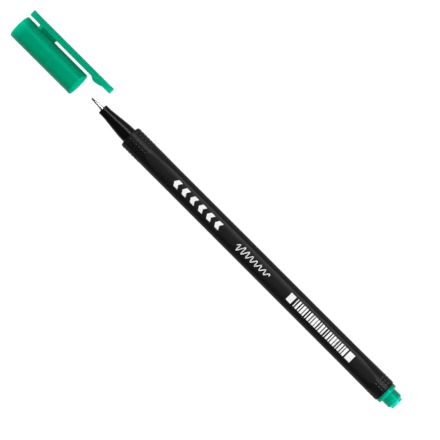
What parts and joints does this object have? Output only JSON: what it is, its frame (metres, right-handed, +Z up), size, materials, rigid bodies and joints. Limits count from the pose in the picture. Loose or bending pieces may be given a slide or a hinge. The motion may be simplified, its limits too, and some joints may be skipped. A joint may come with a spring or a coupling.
{
  "type": "fineliner pen",
  "caption": "Slim fineliner pen with a faceted barrel, a cone nose with a metal-sleeved fine nib, a rear post and a pull-off cap with a pocket clip, drawn with the cap off.",
  "frame": {"origin": "on the pen's axis at the root of the rear post, where the post meets the collar", "axes": "+X along the pen's axis from the nib to the rear post, +Z up as the pen lies on a table on its cap and clip, +Y to the clip's side"},
  "size_m": [0.1847, 0.0121, 0.009],
  "materials": {
    "black_barrel": "satin black with fine moulding grain",
    "black_nose": "polished black",
    "steel_sleeve": "bright drawn steel",
    "black_nib": "ink-wet black",
    "ink_fibre": "fibre rod soaked with ink",
    "clear_film": "thin clear film",
    "green_plug": "glossy moulded green",
    "green_cap": "glossy moulded green",
    "white_print": "white pad print"
  },
  "bodies": {
    "pen": {"barrel": "black_barrel", "nose_cone": "black_nose", "nib_sleeve": "steel_sleeve", "nib": "black_nib", "ink_reservoir": "ink_fibre", "reservoir_film": "clear_film", "rear_plug": "green_plug"},
    "cap": {"cap": "green_cap", "pocket_clip": "green_cap"}
  },
  "joints": [
    {"name": "cap_slide", "type": "slide", "parent": "pen", "child": "cap", "axis": [1, 0, 0], "range_m": [-0.01, 0.02521]}
  ]
}
